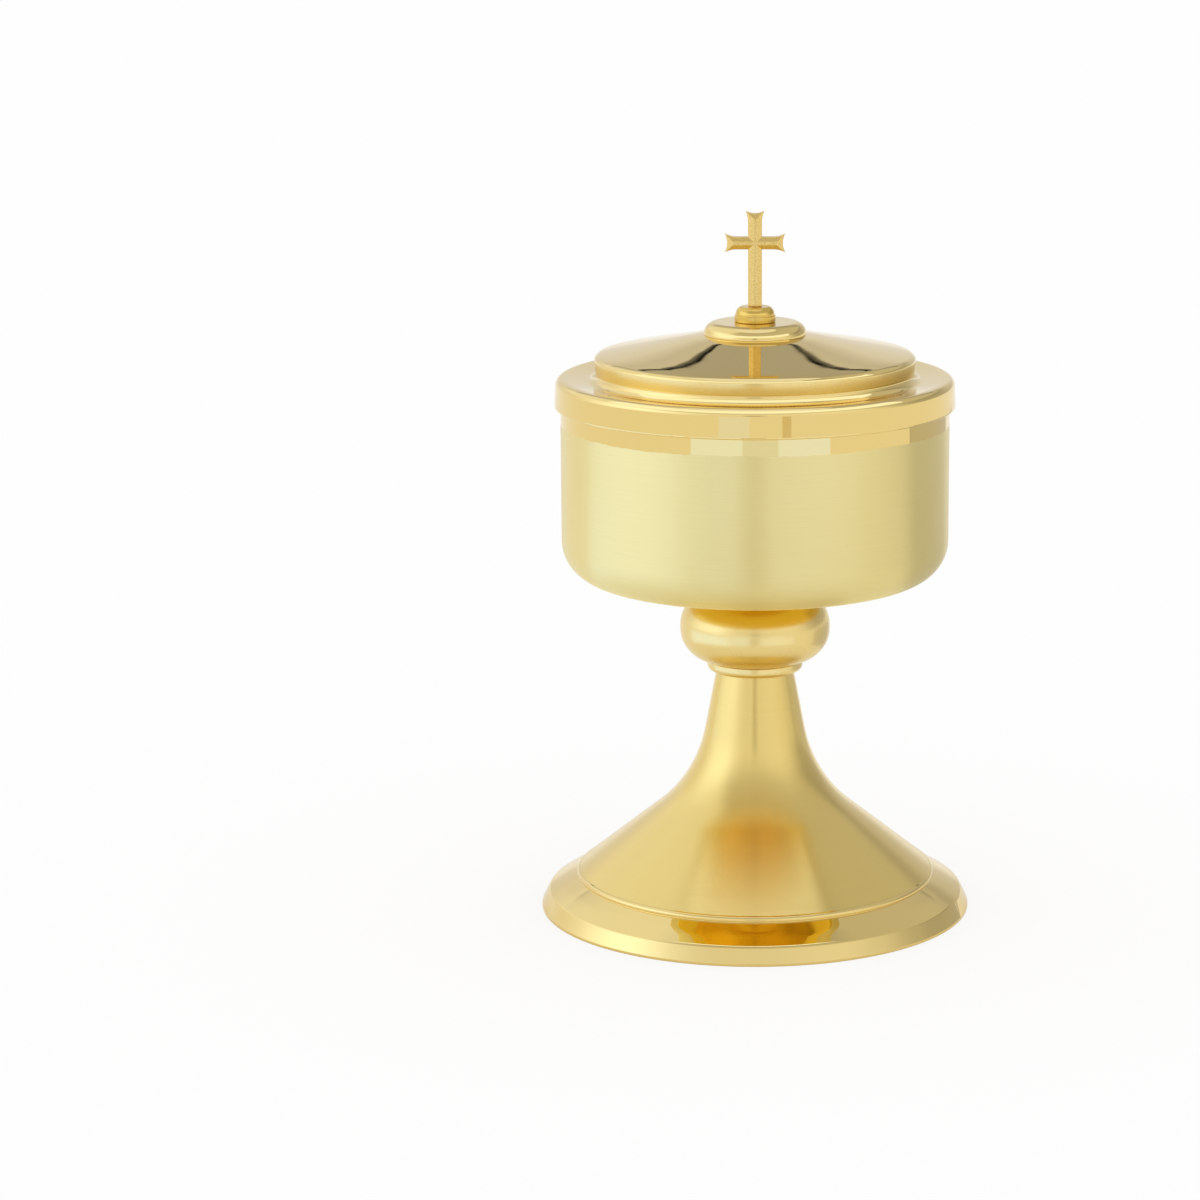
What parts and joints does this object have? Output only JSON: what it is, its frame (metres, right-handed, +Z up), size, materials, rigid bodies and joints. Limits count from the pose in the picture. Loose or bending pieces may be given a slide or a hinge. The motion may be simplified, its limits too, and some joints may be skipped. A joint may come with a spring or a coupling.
{
  "type": "ciborium",
  "caption": "Ciborium on a flared bell foot and knopped stem: straight-sided gilt cup with a lift-off domed lid and a small cross finial, for holding altar breads.",
  "frame": {"origin": "on the table, under the middle of the foot", "axes": "+Z up along the axis of the stem, with the cross facing -Y and its arms along X"},
  "size_m": [0.1234, 0.1234, 0.2013],
  "materials": {
    "satin_gilt": "gold-plated brass, satin brushed round the axis",
    "polished_gilt": "gold-plated brass, mirror polished",
    "cast_gilt": "cast brass, polished and gold plated",
    "plain_brass": "bare turned brass",
    "plated_steel": "zinc-plated steel"
  },
  "bodies": {
    "base": {"foot": "satin_gilt", "foot_washer": "plain_brass", "lock_washer": "plated_steel", "foot_nut": "plain_brass", "lower_collar": "polished_gilt", "knop": "polished_gilt", "upper_collar": "polished_gilt", "cup": "satin_gilt", "cup_boss": "plain_brass", "tie_rod": "plated_steel"},
    "lid": {"lid": "polished_gilt", "lid_washer": "plain_brass", "lid_nut": "plain_brass", "lid_plinth": "polished_gilt", "finial_button": "polished_gilt", "finial_cross": "cast_gilt"}
  },
  "joints": [
    {"name": "lid_lift", "type": "slide", "parent": "base", "child": "lid", "axis": [0, 0, 1], "range_m": [0, 0.08]}
  ]
}
